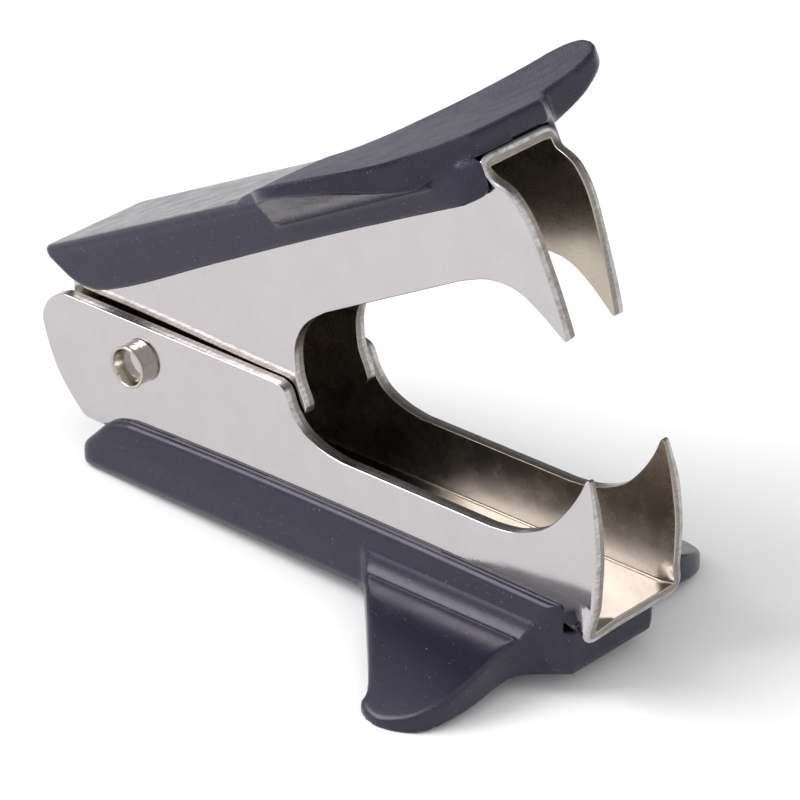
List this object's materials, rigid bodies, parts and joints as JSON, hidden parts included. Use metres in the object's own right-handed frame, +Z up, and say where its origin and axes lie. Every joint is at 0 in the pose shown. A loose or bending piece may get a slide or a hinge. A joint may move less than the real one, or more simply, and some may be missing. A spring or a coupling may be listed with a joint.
{
  "type": "staple remover",
  "caption": "Claw-type staple remover: two pointed sheet-steel jaws hinged on a hollow rivet and sprung open, each in a plastic cover with flared finger wings.",
  "frame": {"origin": "on the table, at the middle of the flat heel under the rear end of the lower cover", "axes": "+X from the pivot towards the teeth, +Y across the jaws along the pivot, +Z up from the table; the lower jaw rises 2.6 degrees towards the teeth, as it rests on its heel and two wing tips"},
  "size_m": [0.0618, 0.0388, 0.045],
  "materials": {
    "steel": "bright nickel plate over stamped sheet, with dull sheared edges",
    "rivet_steel": "bright nickel plate, rolled over",
    "spring_steel": "drawn spring wire",
    "cover_plastic": "satin moulded plastic, charcoal with a blue tint, finely grained on the thumb pads"
  },
  "bodies": {
    "lower": {"lower_jaw": "steel", "lower_cover": "cover_plastic", "pivot_rivet": "rivet_steel", "torsion_spring": "spring_steel"},
    "upper": {"upper_jaw": "steel", "upper_cover": "cover_plastic"}
  },
  "joints": [
    {"name": "jaw_pivot", "type": "hinge", "parent": "lower", "child": "upper", "pos_m": [0.00337, 0, 0.01172], "axis": [0, 1, 0], "range_deg": [0, 23.5], "stiffness_Nm_per_rad": 0.2, "springref_deg": -34.38, "deforming": ["torsion_spring"]}
  ]
}
